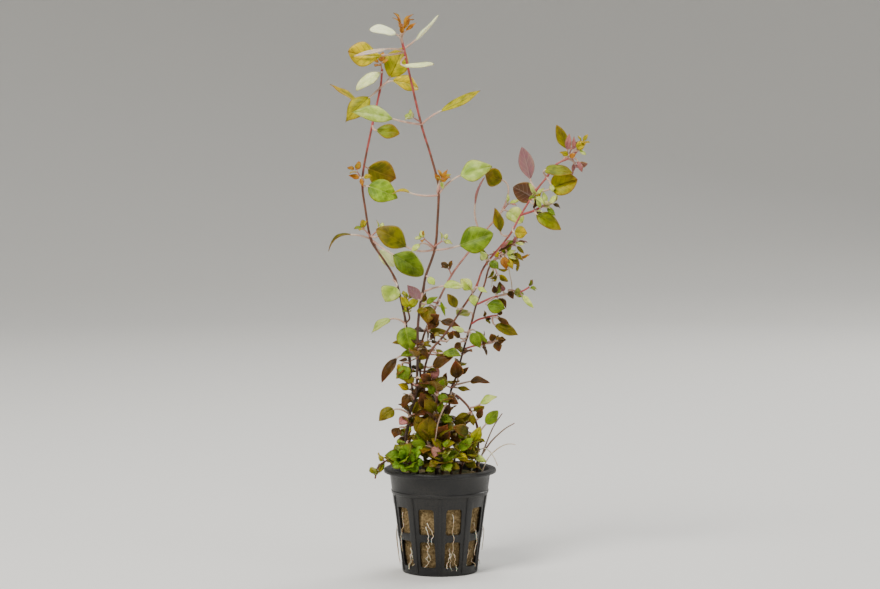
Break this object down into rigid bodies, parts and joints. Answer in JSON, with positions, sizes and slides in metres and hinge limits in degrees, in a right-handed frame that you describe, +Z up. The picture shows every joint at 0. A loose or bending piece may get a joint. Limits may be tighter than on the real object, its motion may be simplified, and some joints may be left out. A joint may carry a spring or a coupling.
{
  "type": "potted super red ludwigia palustris",
  "caption": "Bushy marsh plant with branching red stems and oval green, yellow, olive and pink leaves in opposite pairs, rooted in a stone wool plug in a round net pot.",
  "frame": {"origin": "centre of the pot's flat underside", "axes": "+Z up along the plant, the pictured side faces -Y, +X to its right"},
  "size_m": [0.1242, 0.058, 0.2673],
  "materials": {
    "pot_plastic": "black moulded plastic, satin",
    "wool": "damp fibrous mineral wool with algae on top",
    "stem_red": "smooth skin, pinkish red above and brown below",
    "leaf_green": "glossy veined leaf, fresh green",
    "leaf_pale": "glossy veined leaf, pale green with a whitish shine",
    "leaf_yellow": "glossy veined leaf, golden yellow with a reddish edge",
    "leaf_olive": "veined leaf, olive with brown edges",
    "leaf_bronze": "veined leaf, bronze brown",
    "leaf_pink": "veined underside of a leaf, dusky pink"
  },
  "bodies": {
    "root": {"pot": "pot_plastic", "stone_wool": "wool", "tall_stem": "stem_red", "left_stem": "stem_red", "right_stem": "stem_red", "middle_stem": "stem_red", "slim_stem": "stem_red", "upper_right_shoot": "stem_red", "red_shoot": "stem_red", "low_red_shoot": "stem_red", "bronze_shoot": "leaf_bronze", "young_shoot": "leaf_yellow", "right_runner": "stem_red", "rosette": "leaf_green", "trailing_shoot": "leaf_green", "front_tuft": "leaf_olive", "centre_tuft": "leaf_olive", "right_tuft": "leaf_green", "back_tuft": "leaf_olive", "back_left_tuft": "leaf_green", "tall_stem_leaf_1": "leaf_pale", "tall_stem_leaf_2": "leaf_pale", "tall_stem_leaf_3": "leaf_pale", "tall_stem_leaf_4": "leaf_yellow", "tall_stem_leaf_5": "leaf_pale", "tall_stem_leaf_6": "leaf_yellow", "tall_stem_leaf_7": "leaf_pale", "tall_stem_leaf_8": "leaf_olive", "tall_stem_leaf_9": "leaf_green", "tall_stem_leaf_10": "leaf_pale", "tall_stem_leaf_11": "leaf_olive", "left_stem_leaf_1": "leaf_yellow", "left_stem_leaf_2": "leaf_yellow", "left_stem_leaf_3": "leaf_pale", "left_stem_leaf_4": "leaf_yellow", "left_stem_leaf_5": "leaf_yellow", "left_stem_leaf_6": "leaf_olive", "left_stem_leaf_7": "leaf_olive", "left_stem_leaf_8": "leaf_green", "left_stem_leaf_9": "leaf_olive", "left_stem_leaf_10": "leaf_green", "left_stem_leaf_11": "leaf_pale", "left_stem_leaf_12": "leaf_green", "left_stem_leaf_13": "leaf_bronze", "right_stem_leaf_1": "leaf_olive", "right_stem_leaf_2": "leaf_yellow", "right_stem_leaf_3": "leaf_pink", "right_stem_leaf_4": "leaf_bronze", "right_stem_leaf_5": "leaf_green", "right_stem_leaf_6": "leaf_olive", "middle_stem_leaf_1": "leaf_olive", "middle_stem_leaf_2": "leaf_pink", "middle_stem_leaf_3": "leaf_pale", "slim_stem_leaf_1": "leaf_bronze", "slim_stem_leaf_2": "leaf_bronze", "upper_right_shoot_leaf_1": "leaf_olive", "red_shoot_leaf_1": "leaf_green", "low_red_shoot_leaf_1": "leaf_olive", "right_runner_leaf_1": "leaf_pale", "right_runner_leaf_2": "leaf_green"}
  },
  "joints": []
}
